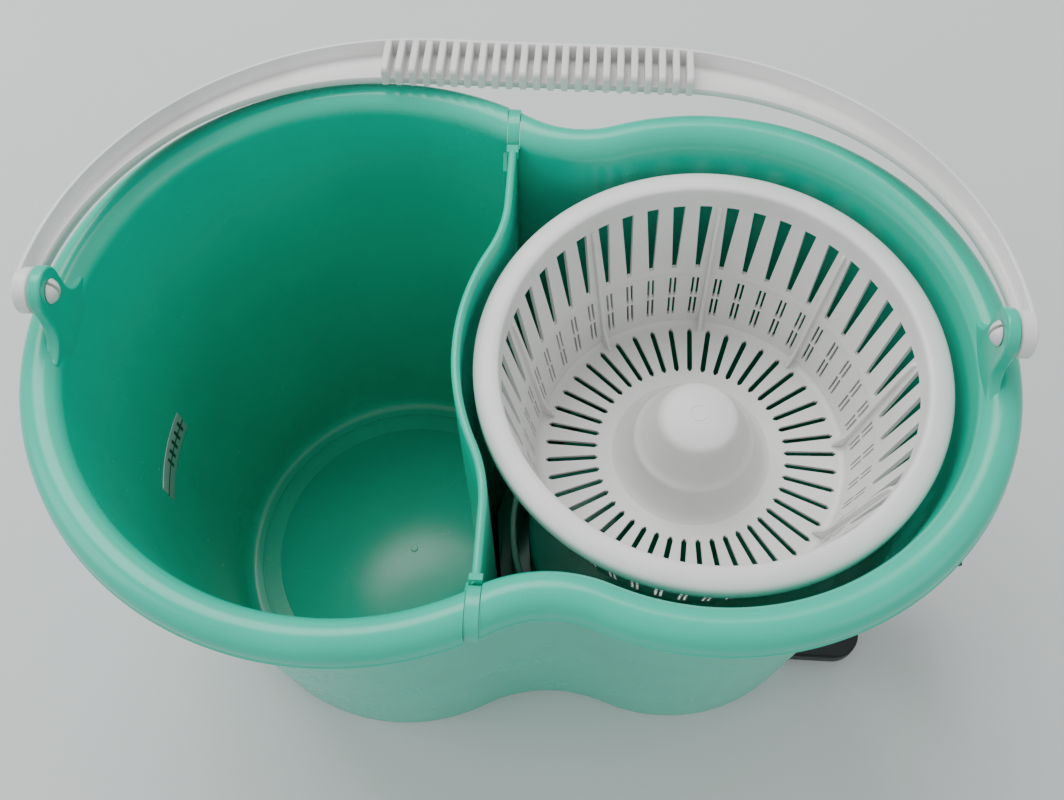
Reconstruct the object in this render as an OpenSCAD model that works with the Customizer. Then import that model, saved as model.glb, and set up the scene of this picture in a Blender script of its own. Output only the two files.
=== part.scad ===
// Two-lobed spin mop bucket with a spin basket driven by a foot pedal.
// The left lobe is the wash chamber, the right lobe the spin chamber.

/* [Bucket] */
// Radius of the wash lobe at the lip of the rim
wash_r = 161.5; // [150:0.5:175]
// Radius of the spin lobe at the lip of the rim
spin_r = 147; // [138:0.5:160]
// Distance between the two lobe centres
lobe_gap = 173; // [160:1:190]
// Radius of the waist curve at the lip of the rim
waist_r = 52; // [44:1:62]
// Height of the top of the rim
rim_top = 303.5; // [280:0.5:340]
// Width of the rolled rim
rim_w = 20.5; // [16:0.5:24]
// Wall thickness of the bucket
wall = 2.4; // [1.8:0.1:3.2]
// How far the wall leans in from the lip to the floor
lean = 42; // [30:1:48]
// Level of the wash chamber floor
floor_z = 6; // [5:0.5:9]
// Radius of the fillet round the floor
fillet = 8; // [4:0.5:12]
// How far the bead at the lip stands out
lip_bead = 0.6; // [0:0.1:1.2]
// Half the width of the gap that takes a divider strap
notch_half = 3.5; // [3:0.1:5]

/* [Ears and bail] */
// Half the distance between the middles of the two ears
ear_x = 223; // [218:0.5:226]
// Thickness of an ear
ear_t = 6.2; // [5:0.1:7]
// Height of the bail pins above the rim
pin_rise = 22; // [18:0.5:30]
// Radius of the bail pins
pin_r = 4.93; // [4:0.01:5.5]
// Radial clearance of a pin in its hole
run_fit = 0.07; // [0.03:0.01:0.1]
// Angle between the bail and the upright when it lies back
bail_fold = 96; // [95:0.5:97]
// Reach of the bail from its pins
bail_reach = 176; // [172:0.5:190]
// Height of the bail's outer flange
bail_h = 21; // [16:0.5:22]
// Width of the bail at its middle
bail_w = 22.5; // [20:0.5:24]
// Number of ribs in the grip
grip_ribs = 23; // [11:2:27]
// Length of the ribbed grip
grip_len = 162; // [110:1:170]

/* [Divider] */
// How far left of the ears' middle the divider's ends stand
divider_x = 11; // [8:0.5:14]
// Radius of the divider's curve round the basket
divider_r = 125; // [122:0.5:128]
// Thickness of the divider
divider_t = 4.2; // [3:0.1:5]
// Drop from the top of the rim to the top of the divider
divider_drop = 6.5; // [4:0.5:12]

/* [Basket] */
// Distance from the spin lobe's centre to the basket's axis
basket_off = 1.5; // [0:0.5:3]
// Outer radius of the basket's flange
flange_r = 117.1; // [112:0.1:119]
// Height of the basket's flange edge
flange_z = 285.8; // [270:0.1:290]
// Radius of the basket inside, under the flange
basket_r = 103.6; // [98:0.1:106]
// Radius of the basket inside, at the floor
basket_floor_r = 86; // [82:0.5:92]
// Level of the basket's floor
basket_z = 184.6; // [180:0.5:190]
// Wall thickness of the basket
basket_wall = 2.2; // [1.6:0.1:3]
// Number of groups of slots
slot_groups = 9; // [6:1:10]
// Slots in a group
slots_each = 5; // [3:1:5]
// Radius of the basket's hub at its shoulder
hub_r = 33.5; // [30:0.5:36]

/* [Drive] */
// Radius of the spindle
spindle_r = 5; // [4:0.1:6]
// Half the width of the hex driver across its flats
hex_half = 7.8; // [7:0.1:9]
// Gear module
gear_m = 1.5; // [1.5:0.05:1.6]
// Teeth on each pinion
pinion_n = 12; // [12:1:13]
// Teeth on the crown gear
crown_n = 36; // [34:1:37]
// Height of the cross shaft
cross_z = 41.9; // [41:0.1:45]
// Radius of the cross shaft, the pedal pin and the driver stud
shaft_r = 4; // [3.5:0.1:4.5]
// Top of the dry housing over the gears
house_z = 72; // [70:0.5:80]
// Radius of the housing round the gears
house_r = 93; // [88:0.5:96]

/* [Pedal and base] */
// Height of the pedal's hinge
hinge_z = 34; // [33:0.5:38]
// Pitch radius of the lever's toothed sector
sector_r = 48; // [42:0.5:50]
// How far the pedal's tip stands right of the ears' middle
pedal_tip = 266; // [255:1:275]
// Height of the pedal's tip at rest
pedal_top = 107; // [100:1:115]
// Half the width of the pedal
pedal_half = 30; // [24:1:34]
// Angle that the pedal is pressed through
pedal_stroke = 24; // [15:1:26]
// Half the width of the base plate
base_half = 63; // [58:1:70]
// How far the base plate stands right of the ears' middle
base_end = 225; // [215:1:235]
// Thickness of the base plate
base_t = 9; // [6:0.5:10]
// Height that the rubber feet hold the base plate up
foot_h = 2; // [1.5:0.5:3]

/* [Hidden] */
$fn = 96;
e = 0.01;

// Lobe centres. The two lips end the same distance from the ears' middle, give or take the rounding.
wash_x = -(lobe_gap + wash_r - spin_r) / 2 + 13.75;
spin_x = wash_x + lobe_gap;
axis_x = spin_x + basket_off;

// The waist curve touches both lobes from outside.
to_wash = wash_r + waist_r;
to_spin = spin_r + waist_r;
waist_dx = (pow(lobe_gap, 2) + pow(to_wash, 2) - pow(to_spin, 2)) / (2 * lobe_gap);
waist_x = wash_x + waist_dx;
waist_y = sqrt(pow(to_wash, 2) - pow(waist_dx, 2));
wash_end = atan2(waist_y, waist_dx);
spin_end = atan2(waist_y, waist_x - spin_x);

// Rim section, across from the lip
rim_half = rim_w / 2;
rim_mid_z = rim_top - rim_half;
lip_z = rim_mid_z - 3.3;
slope = (lean - rim_w + wall) / rim_mid_z;

// Offset of the wall's outer and inner faces from the lip at height z
function out_u(z) = -lean + slope * z;
function in_u(z) = out_u(z) - wall;

// Bail
pin_z = rim_top + pin_rise;
hole_r = pin_r + run_fit;
bail_half = bail_h / 2;
bail_x = 58;
bail_in_x = 75;
bail_in_r = bail_reach - bail_w - 0.5;
bail_end = bail_x + bail_reach;
boss_r = 11;

// Mechanism
pinion_r = gear_m * pinion_n / 2;
crown_r = gear_m * crown_n / 2;
mesh_z = cross_z + crown_r;
hinge_gap = sector_r + pinion_r;
hinge_x = axis_x + sqrt(pow(hinge_gap, 2) - pow(cross_z - hinge_z, 2));
mesh_angle = 180 - asin((cross_z - hinge_z) / hinge_gap);
base_top = foot_h + base_t;
ceiling = house_z - 3;
stud_top = mesh_z + 3.1;
cup_z = mesh_z + 4.1;
bore_r = shaft_r + 0.06;
sector_y = -21;
spring_x = hinge_x + 31;
spring_top = hinge_z + 6;
tower_top = 196;
head_z = tower_top + 5;
head_h = 21;

// The whole object is shifted so that its box stands centred on the origin.
box_left = wash_x - wash_r - lip_bead;
box_right = max(pedal_tip, base_end, spin_x + spin_r + lip_bead, bail_end);
box_front = -max(wash_r, spin_r) - lip_bead;
box_back = max(wash_r + lip_bead, bail_reach * sin(bail_fold) - bail_half * cos(bail_fold));
module place() {
    translate([-(box_left + box_right) / 2, -(box_front + box_back) / 2, 0]) children();
}

// A copy in front and a copy behind
module both_y() {
    children();
    mirror([0, 1, 0]) children();
}

// A profile swept round one centre between two angles
module sweep(x, y, r, from, to) {
    translate([x, y, 0]) rotate([0, 0, from]) rotate_extrude(angle = to - from)
        translate([r, 0]) children();
}

// The bucket's outline at an offset from the lip
module outline(u) {
    difference() {
        union() {
            translate([wash_x, 0]) circle(wash_r + u);
            translate([spin_x, 0]) circle(spin_r + u);
            polygon([[wash_x, 0], [waist_x, waist_y], [spin_x, 0], [waist_x, -waist_y]]);
        }
        for (s = [-1, 1]) translate([waist_x, s * waist_y]) circle(waist_r - u);
    }
}

// Points along an arc
function arc(cx, cy, r, from, to, n) =
    [for (i = [0:n]) let (a = from + (to - from) * i / n) [cx + r * cos(a), cy + r * sin(a)]];

// Wall, floor fillet and hollow rolled rim, given across and up from the lip, with every face
// moved out by g and the foot cut off at height z0
fillet_u = in_u(floor_z) - fillet;
function wall_points(g, z0) = concat(
    [[out_u(z0) + g, z0]],
    arc(-rim_half, rim_mid_z, rim_half - wall - g, 180, 0, 8),
    [[-wall - g, lip_z - g], [lip_bead + g, lip_z - g], [lip_bead + g, lip_z + 1.2], [g, lip_z + 1.6]],
    arc(-rim_half, rim_mid_z, rim_half + g, 0, 180, 12),
    [[in_u(floor_z + fillet) - g, floor_z + fillet]],
    arc(fillet_u - g, floor_z + fillet + g, fillet, -18, -90, 4),
    [[fillet_u - g, floor_z - wall - g], [in_u(floor_z - wall) - g, floor_z - wall - g],
     [in_u(z0) - g, z0]]);

// The wall goes round both lobes, and round the waists with its inside turned outward. Where two
// curves meet there is a narrow witness line, a hair proud of the wall, that joins them.
seam = 0.15;
module tub_wall() {
    skin = wall_points(0, 0);
    turned = [for (i = [len(skin) - 1:-1:0]) [-skin[i][0], skin[i][1]]];
    sweep(wash_x, 0, wash_r, wash_end + 0.1, 359.9 - wash_end) polygon(skin);
    sweep(spin_x, 0, spin_r, 0.1 - spin_end, spin_end - 0.1) polygon(skin);
    sweep(waist_x, waist_y, waist_r, 180.3 + wash_end, 179.7 + spin_end) polygon(turned);
    sweep(waist_x, -waist_y, waist_r, 180.3 - spin_end, 179.7 - wash_end) polygon(turned);
    for (s = [-1, 1]) {
        sweep(wash_x, 0, wash_r, s * wash_end - 0.45, s * wash_end + 0.45)
            polygon(wall_points(seam, 0.4));
        sweep(spin_x, 0, spin_r, s * spin_end - 0.45, s * spin_end + 0.45)
            polygon(wall_points(seam, 0.4));
    }
}

// Housing outline: a disc round the gears and a passage to the pedal
module house_outline(shrink) {
    translate([axis_x, 0]) circle(house_r - shrink);
    translate([axis_x, -base_half - 3.5 + shrink]) square([140, 2 * (base_half + 3.5 - shrink)]);
}
house_foot = floor_z - wall + 0.6;

// What lies within the spin lobe's wall, let into the wall by a little less than half its thickness
module in_spin_lobe(z0, z1) {
    bite = 0.45 * wall;
    intersection() {
        children();
        translate([spin_x, 0, 0]) rotate_extrude() polygon([[0, z0], [spin_r + in_u(z0) + bite, z0],
            [spin_r + in_u(z1) + bite, z1], [0, z1]]);
    }
}

module tower_outside() {
    translate([axis_x, 0, 0]) rotate_extrude() polygon([[0, ceiling], [36, ceiling], [36, house_z],
        [33, house_z + 4], [21, tower_top], [0, tower_top]]);
}
module tower_inside() {
    translate([axis_x, 0, 0]) rotate_extrude() polygon([[0, ceiling - 1], [31, ceiling - 1], [30, house_z + 3],
        [27.4, 100], [8 + e, 100], [8 + e, 108], [26.9, 108], [18.4, tower_top - 13], [8 + e, tower_top - 13],
        [8 + e, tower_top + 1], [0, tower_top + 1]]);
}

// Places of the screws that hold the base plate, and of the frame's own screws
base_holes = [[axis_x - 60, -42], [axis_x - 60, 42], [axis_x + 76, -54], [axis_x + 76, 54]];
frame_holes = [[axis_x - 34, -32], [axis_x - 34, 32], [hinge_x + 17, -27], [hinge_x + 17, 27]];
foot_spots = [[axis_x - 64, -28], [axis_x - 64, 28], [base_end - 20, -44], [base_end - 20, 44]];

module ear(x) {
    translate([x - ear_t / 2, 0, 0]) rotate([90, 0, 90]) linear_extrude(ear_t) difference() {
        union() {
            translate([0, pin_z]) circle(boss_r + 1);
            translate([-boss_r - 1, rim_top - 4]) square([2 * boss_r + 2, pin_rise + 4]);
            translate([-26, rim_top - 18]) square([52, 29]);
        }
        for (s = [-1, 1]) translate([s * (boss_r + 15), rim_top + 11]) circle(14);
        translate([0, pin_z]) circle(hole_r);
    }
}

// A closing web on each side of the gap in the rim that takes a divider strap
module notch_webs() {
    intersection() {
        sweep(wash_x, 0, wash_r, wash_end - 1, wash_end + 14)
            polygon(concat([[-rim_w + 0.3, lip_z + 0.5]],
                arc(-rim_half, rim_mid_z, rim_half - 0.3, 180, 0, 12), [[-0.3, lip_z + 0.5]]));
        for (s = [-1, 1]) translate([-divider_x + s * (notch_half + 1) - 1, 100, lip_z + 0.5])
            cube([2, 80, 20]);
    }
}
strap_y = sqrt(pow(wash_r, 2) - pow(wash_x + divider_x, 2));

module guide_ribs() {
    intersection() {
        sweep(wash_x, 0, wash_r, wash_end - 1, wash_end + 22)
            polygon([[in_u(floor_z) + 1, floor_z - 1], [in_u(floor_z) - 7, floor_z - 1],
                     [in_u(rim_mid_z) - 7, rim_mid_z - 12], [in_u(rim_mid_z) - 0.5, rim_mid_z - 4],
                     [in_u(rim_mid_z) + 1, rim_mid_z - 4]]);
        for (s = [-1, 1]) translate([-divider_x + s * (divider_t / 2 + 2.2) - 1.2, 60, 0])
            cube([2.4, 90, rim_top]);
    }
}

module bucket_body() {
    color("mediumaquamarine") place() {
        difference() {
            union() {
                difference() {
                    union() {
                        tub_wall();
                        ear(-ear_x);
                        ear(ear_x);
                    }
                    both_y() {
                        translate([-divider_x - notch_half, strap_y - rim_w - 8, lip_z + 1.5])
                            cube([2 * notch_half, rim_w + 18, 40]);
                        translate([-divider_x - notch_half, strap_y - 7, lip_z - 2])
                            cube([2 * notch_half, 20, 10]);
                    }
                }
                both_y() notch_webs();
                both_y() guide_ribs();
                // Wash and spin chamber floor round the housing
                difference() {
                    translate([0, 0, floor_z - wall + seam]) linear_extrude(wall - 2 * seam) outline(fillet_u + 2);
                    translate([0, 0, -1]) linear_extrude(20) house_outline(2);
                    translate([wash_x, 0, floor_z - 0.7]) rotate_extrude() translate([wash_r - 57, 0])
                        square([1.2, 2]);
                }
                // Raised panel and gate mark in the wash chamber floor
                intersection() {
                    translate([wash_x, 0, floor_z - 0.5]) cylinder(r = wash_r - 68, h = 1.3);
                    translate([wash_x - 200, -200, 0]) cube([axis_x - house_r - wash_x + 180, 400, 20]);
                }
                translate([wash_x, 0, floor_z]) cylinder(r = 2.5, h = 1.6);
                // Low fence and drain slot between the divider's foot and the housing
                translate([axis_x, 0, floor_z - 0.5]) rotate([0, 0, 128]) rotate_extrude(angle = 104)
                    translate([house_r + 8, 0]) square([4.5, house_z - floor_z + 0.5]);
                // Housing sides and top
                in_spin_lobe(house_foot, house_z) difference() {
                    translate([0, 0, house_foot]) linear_extrude(house_z - house_foot) house_outline(0);
                    translate([0, 0, -1]) linear_extrude(ceiling + 1) house_outline(3);
                }
                tower_outside();
                // Screw bosses under the housing top
                for (p = base_holes) translate([p[0], p[1], base_top])
                    cylinder(r = 5, h = ceiling - base_top + 1);
            }
            tower_inside();
            for (p = base_holes) translate([p[0], p[1], base_top - 1]) cylinder(r = 1.8, h = 17);
            // Gap in the wall for the base plate and for the pedal
            translate([spin_x + 60, -base_half - 0.6, -1]) cube([80, 2 * base_half + 1.2, base_top + 1.6]);
            translate([spin_x + 60, -pedal_half - 4, -1]) cube([80, 2 * pedal_half + 8, ceiling]);
        }
    }
}

// The divider's outline: straight ends, a curve round the basket, and a reverse curve between each.
// One face lies at side * divider_t / 2 from the middle line.
blend_r = 74;
blend_x = -divider_x - blend_r;
blend_y = sqrt(pow(divider_r + blend_r, 2) - pow(axis_x - blend_x, 2));
blend_turn = atan2(blend_y, axis_x - blend_x);
function divider_face(side) = let (h = side * divider_t / 2) concat(
    [[blend_x + blend_r + h, -160]],
    arc(blend_x, -blend_y, blend_r + h, 0, blend_turn, 8),
    arc(axis_x, 0, divider_r - h, 180 + blend_turn, 180 - blend_turn, 24),
    arc(blend_x, blend_y, blend_r + h, -blend_turn, 0, 8),
    [[blend_x + blend_r + h, 160]]);
module divider_line() {
    left = divider_face(-1);
    right = divider_face(1);
    polygon(concat(left, [for (i = [len(right) - 1:-1:0]) right[i]]));
}

module divider() {
    strap = notch_half - 0.35;
    top = rim_top - divider_drop;
    color("honeydew") place() {
        intersection() {
            translate([0, 0, floor_z + 1.1]) linear_extrude(top - floor_z - 1.1) divider_line();
            translate([wash_x, 0, 0]) rotate_extrude() polygon([[0, 0],
                [wash_r + in_u(floor_z) - fillet * 0.9, 0], [wash_r + in_u(floor_z) - fillet * 0.9, floor_z + 2],
                [wash_r + in_u(floor_z + 20) - 0.8, floor_z + 20], [wash_r + in_u(top) - 0.8, top], [0, top]]);
        }
        // Straps that fill the gaps in the rim and follow its roll
        both_y() translate([-divider_x - strap, 0, 0]) rotate([90, 0, 90]) linear_extrude(2 * strap) polygon(concat(
            [[strap_mid + strap_reach + 0.5, lip_z]], strap_arc(0.5, 0, 180),
            [[strap_mid - strap_reach - 5.5, top], [strap_mid - strap_reach - 6.5, top - 5],
             [strap_mid - strap_reach + 2.4, top - 5]],
            strap_arc(-2.4, 180, 0), [[strap_mid + strap_reach - 2.4, lip_z]]));
    }
}
// The rim's roll where the divider's ends cross it
strap_in = sqrt(pow(wash_r - rim_w, 2) - pow(wash_x + divider_x, 2));
strap_mid = (strap_y + strap_in) / 2;
strap_reach = (strap_y - strap_in) / 2;
function strap_arc(g, from, to) = [for (i = [0:12]) let (a = from + (to - from) * i / 12)
    [strap_mid + (strap_reach + g) * cos(a), rim_mid_z + (rim_half + g) * sin(a)]];

// Bail outlines in its own plane: an arc each side and a straight middle
module bail_outline(cx, r) {
    for (s = [-1, 1]) translate([s * cx, 0]) circle(r);
    translate([-cx, 0]) square([2 * cx, r]);
}
module bail_ring(cx0, r0, cx1, r1) {
    intersection() {
        difference() {
            bail_outline(cx0, r0);
            translate([-cx0, -r0]) square([2 * cx0, r0]);
            bail_outline(cx1, r1);
            translate([-cx1, -r1 - 1]) square([2 * cx1, r1 + 2]);
        }
        translate([-300, 0]) square([600, 300]);
    }
}
module slab(h, z0) {
    translate([0, 0, z0]) linear_extrude(h) children();
}

module bail() {
    inner_flat = ear_x + ear_t / 2 + 0.5;
    color("whitesmoke") place() translate([0, 0, pin_z]) rotate([90 - bail_fold, 0, 0]) {
        difference() {
            union() {
                slab(bail_h, -bail_half) bail_ring(bail_x, bail_reach, bail_x, bail_reach - 2.5);
                slab(2.6, -1.3) bail_ring(bail_x, bail_reach, bail_in_x, bail_in_r);
                slab(4, -2) bail_ring(bail_in_x, bail_in_r + 2, bail_in_x, bail_in_r);
                // Grip ribs on the upper face, rounded where they pass the inner edge
                for (i = [0:grip_ribs - 1]) translate([-grip_len / 2 + i * grip_len / (grip_ribs - 1), 0, 0])
                    grip_rib();
                for (s = [-1, 1]) translate([s * (bail_end + inner_flat) / 2, 0, 0]) rotate([0, 90, 0])
                    cylinder(r = boss_r, h = bail_end - inner_flat, center = true);
            }
            // The ends stay clear of the ears
            for (s = [-1, 1]) translate([s * (inner_flat - 20) - 20, -40, -40]) cube([40, 66, 80]);
        }
        snap_pin(inner_flat);
        mirror([1, 0, 0]) snap_pin(inner_flat);
    }
}
grip_rib_w = 3.8;
module grip_rib() {
    translate([-grip_rib_w / 2, 0, 0]) rotate([90, 0, 90]) linear_extrude(grip_rib_w) {
        translate([bail_in_r - 3, -1]) square([bail_reach - bail_in_r + 2, bail_half + 1 - 3]);
        translate([bail_in_r, -1]) square([bail_reach - bail_in_r - 1, bail_half + 1]);
        translate([bail_in_r, bail_half - 3]) circle(3);
    }
}
// Split pin with a domed head on the inner side of the ear
module snap_pin(x) {
    tip = ear_x - ear_t / 2 - 0.3;
    difference() {
        union() {
            translate([tip - 0.5, 0, 0]) rotate([0, 90, 0]) cylinder(r = pin_r, h = x - tip + 1.5);
            translate([tip, 0, 0]) rotate([0, -90, 0]) rotate_extrude() intersection() {
                translate([0, -7]) circle(11);
                square([6, 5]);
            }
        }
        translate([tip - 6, -0.9, -7]) cube([11, 1.8, 14]);
    }
}

label_z = 146;
label_h = 18;
module fill_level_label() {
    color("lightgray") place() translate([wash_x, 0, 0]) rotate([0, 0, 171.3]) rotate_extrude(angle = 22.2)
        polygon([[wash_r + in_u(label_z) - 0.02, label_z], [wash_r + in_u(label_z) - 0.42, label_z],
                 [wash_r + in_u(label_z + label_h) - 0.42, label_z + label_h],
                 [wash_r + in_u(label_z + label_h) - 0.02, label_z + label_h]]);
}

// Basket profile, inside face first
wall_top = flange_z - 9.8;
pair_z = basket_z + 7.4;
pair_top = basket_z + 37.4;
tall_z = basket_z + 44.9;
function basket_in(z) = basket_floor_r + (basket_r - basket_floor_r) * (z - basket_z) / (wall_top - basket_z);
module basket_section() {
    lo = basket_z - basket_wall;
    ring = 44.5;
    polygon([[ring, basket_z], [basket_floor_r - 2, basket_z], [basket_floor_r, basket_z + 2],
        [basket_in(pair_top + 2), pair_top + 2], [basket_in(tall_z - 2) - 0.8, (pair_top + tall_z) / 2],
        [basket_in(tall_z - 2), tall_z - 2], [basket_r, wall_top], [basket_r + 1.4, flange_z + 0.4],
        [basket_r + 4, flange_z + 2.2], [basket_r + 7.5, flange_z + 2.4], [flange_r - 2, flange_z + 1.2],
        [flange_r, flange_z], [flange_r, flange_z - 7], [flange_r - basket_wall, flange_z - 7],
        [flange_r - basket_wall, flange_z - 1.5], [basket_r + 6, flange_z],
        [basket_r + basket_wall + 1.4, flange_z - 2], [basket_r + basket_wall, wall_top],
        [basket_floor_r + basket_wall, basket_z + 1], [basket_floor_r - 1, lo], [ring, lo]]);
    // Floor rises to the hub, with a shoulder and a domed cap
    difference() {
        polygon([[ring + 1, basket_z], [ring + 1, lo], [ring - 1, lo], [36.2, lo + 5], [hub_r - 2, lo + 18.5],
            [24, basket_z + 30], [19.5, basket_z + 42], [16, basket_z + 44.4], [0, basket_z + 44.4],
            [0, basket_z + 47.4], [9, basket_z + 47], [18, basket_z + 45.4], [22, basket_z + 41.5],
            [26.4, basket_z + 30], [hub_r - 2, basket_z + 21.2], [hub_r, basket_z + 19.4],
            [hub_r + 1.6, basket_z + 12], [hub_r + 5, basket_z + 5], [ring, basket_z]]);
    }
}

slot_pitch = 360 / (slot_groups * slots_each);
slot_start = 90.3;
tall_w = 6.8;
module basket_slots() {
    for (i = [0:slot_groups * slots_each - 1]) rotate([0, 0, slot_start + i * slot_pitch]) {
        // Tall slots widen upward; below them each pair has a bridge half way up
        translate([basket_in(tall_z) - 5, 0, 0]) rotate([90, 0, 90]) linear_extrude(22)
            polygon([[-1.3, tall_z], [1.3, tall_z], [tall_w / 2, wall_top - 0.7], [-tall_w / 2, wall_top - 0.7]]);
        for (s = [-1, 1], z = [pair_z, (pair_z + pair_top) / 2 + 0.8])
            translate([basket_floor_r - 5, s * 1.35 - 0.7, z]) cube([22, 1.4, (pair_top - pair_z) / 2 - 0.8]);
        translate([52.5, -1.5, basket_z - 5]) cube([29.1, 3, 10]);
    }
}
module spin_basket() {
    color("ivory") place() translate([axis_x, 0, 0]) {
        difference() {
            rotate_extrude() basket_section();
            basket_slots();
        }
        // Ribs inside, one between each two groups of slots
        for (i = [0:slot_groups - 1]) rotate([0, 0, slot_start - slot_pitch / 2 + i * 360 / slot_groups])
            rotate([90, 0, 0]) translate([0, 0, -1.1]) linear_extrude(2.2) polygon([
                [basket_floor_r - 7, basket_z - 1], [basket_floor_r - 0.5, basket_z - 1],
                [basket_floor_r + 1.5, basket_z + 1],
                [basket_r + 0.9, wall_top - 1.5], [basket_r - 2.5, wall_top - 1.5], [basket_in(pair_z) - 3.5, pair_z + 4]]);
    }
}

// Hex prism of a given half width across its flats
module hex_bar(half, h) {
    cylinder(r = half / cos(30), h = h, $fn = 6);
}
socket_top = basket_z + 44.4;
module drive_socket() {
    color("dimgray") place() translate([axis_x, 0, 0]) difference() {
        union() {
            translate([0, 0, head_z + 0.5]) cylinder(r = 13, h = socket_top - head_z - 0.5);
            translate([0, 0, socket_top - 3]) cylinder(r = 15.5, h = 3);
        }
        translate([0, 0, head_z - 1]) hex_bar(hex_half + 0.15, head_h + 1.05);
    }
}

module on_axis() {
    place() translate([axis_x, 0, 0]) children();
}
module tube(r, bore, z0, z1) {
    translate([0, 0, z0]) difference() {
        cylinder(r = r, h = z1 - z0);
        translate([0, 0, -1]) cylinder(r = bore, h = z1 - z0 + 2);
    }
}

spindle_z = cup_z + 4.4;
module spindle() {
    color("silver") on_axis() difference() {
        translate([0, 0, spindle_z]) cylinder(r = spindle_r, h = head_z + head_h - 4 - spindle_z);
        translate([0, 0, tower_top + 1]) rotate_extrude() translate([spindle_r - 0.6, 0]) square([2, 1.2]);
    }
}
module spindle_head() {
    color("gray") on_axis() difference() {
        union() {
            translate([0, 0, head_z]) hex_bar(hex_half, head_h);
            translate([0, 0, head_z - 1.5]) cylinder(r = 7.2, h = 2);
        }
        translate([0, 0, head_z - 3]) cylinder(r = spindle_r, h = head_h - 1);
    }
}
module upper_bush() {
    color("peru") on_axis() {
        tube(8, spindle_r + 0.06, tower_top - 13, tower_top);
        tube(10.5, spindle_r + 0.06, tower_top - 15, tower_top - 13);
    }
}
module lower_bush() {
    color("peru") on_axis() {
        tube(8, spindle_r + 0.06, 98, 108);
        tube(10.5, spindle_r + 0.06, 98, 100);
    }
}
module splash_seal() {
    color("black") on_axis() tube(12, spindle_r + 0.05, tower_top + 2.3, tower_top + 3.4);
}
module thrust_washer() {
    color("gainsboro") on_axis() tube(9, spindle_r + 0.05, tower_top + 0.2, tower_top + 1.2);
}

// Inner half of the one-way clutch: three sprung pawls on a hub
module ratchet_hub() {
    color("orange") on_axis() translate([0, 0, spindle_z + 0.3]) difference() {
        union() {
            cylinder(r = 9.5, h = 11);
            for (i = [0:2]) rotate([0, 0, 120 * i]) translate([0, 7.2, 0]) rotate([0, 0, -12])
                cube([11.2, 1.8, 9]);
        }
        translate([0, 0, -1]) cylinder(r = spindle_r, h = 13);
    }
}

// Straight spur teeth as wedges on a drum
module spur(n, root, tip, h, base_w, tip_w) {
    cylinder(r = root, h = h);
    for (i = [0:n - 1]) rotate([0, 0, 360 * i / n]) linear_extrude(h) polygon([[root - 1, -base_w / 2],
        [tip, -tip_w / 2], [tip, tip_w / 2], [root - 1, base_w / 2]]);
}
tooth_w = 1.9;
tip_w = 1.0;
module clutch_cup() {
    color("white") on_axis() difference() {
        union() {
            translate([0, 0, mesh_z - 7.5]) rotate([0, 0, 90])
                spur(pinion_n, pinion_r - 1.7, pinion_r + 1.2, 11.8, tooth_w, tip_w);
            translate([0, 0, cup_z]) cylinder(r = 17.5, h = 18);
        }
        translate([0, 0, mesh_z - 9]) cylinder(r = bore_r, h = stud_top - mesh_z + 9.4);
        translate([0, 0, cup_z + 3]) cylinder(r = 13.6, h = 20);
        for (i = [0:11]) rotate([0, 0, 30 * i]) translate([10, 0, cup_z + 3]) cube([5.2, 2.6, 20]);
    }
}
bridge_z = mesh_z - 14;
module driver_stud() {
    color("silver") on_axis() translate([0, 0, bridge_z - 5]) cylinder(r = shaft_r, h = stud_top - bridge_z + 5);
}

// Crown gear with its teeth facing the clutch cup's pinion
crown_y = pinion_r + 1.6;
module on_cross() {
    place() translate([axis_x, 0, cross_z]) rotate([-90, 0, 0]) children();
}
module crown_gear() {
    color("white") on_cross() difference() {
        union() {
            translate([0, 0, crown_y]) cylinder(r = crown_r + 2, h = 4.4);
            translate([0, 0, crown_y + 4]) cylinder(r = 9, h = 5.4);
            for (i = [0:crown_n - 1]) rotate([0, 0, 360 * (i + 0.5) / crown_n + 90])
                translate([crown_r - 1.8, -tooth_w / 2, crown_y - 2.6]) cube([3.8, tooth_w, 3]);
        }
        translate([0, 0, crown_y - 1]) cylinder(r = shaft_r, h = 12);
        for (i = [0:5]) rotate([0, 0, 60 * i + 30]) translate([15.5, 0, crown_y - 1]) cylinder(r = 4.2, h = 8);
    }
}
shaft_front = -33;
shaft_back = 29.5;
module cross_shaft() {
    color("silver") on_cross() translate([0, 0, shaft_front]) cylinder(r = shaft_r, h = shaft_back - shaft_front);
}
module cross_pinion() {
    // Turned so that a gap faces the sector's tooth at rest
    color("white") on_cross() translate([0, 0, sector_y - 5]) rotate([0, 0, 180 - mesh_angle + 180 / pinion_n])
        difference() {
            spur(pinion_n, pinion_r - 1.7, pinion_r + 1.2, 10, tooth_w, tip_w);
            translate([0, 0, -1]) cylinder(r = shaft_r, h = 12);
        }
}
module shaft_clips() {
    color("dimgray") on_cross() for (y = [shaft_front + 0.2, shaft_back - 1.2]) difference() {
        translate([0, 0, y]) cylinder(r = 7, h = 0.9);
        translate([0, 0, y - 1]) cylinder(r = shaft_r, h = 3);
        translate([-1.2, 0, y - 1]) cube([2.4, 9, 3]);
    }
}

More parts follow.
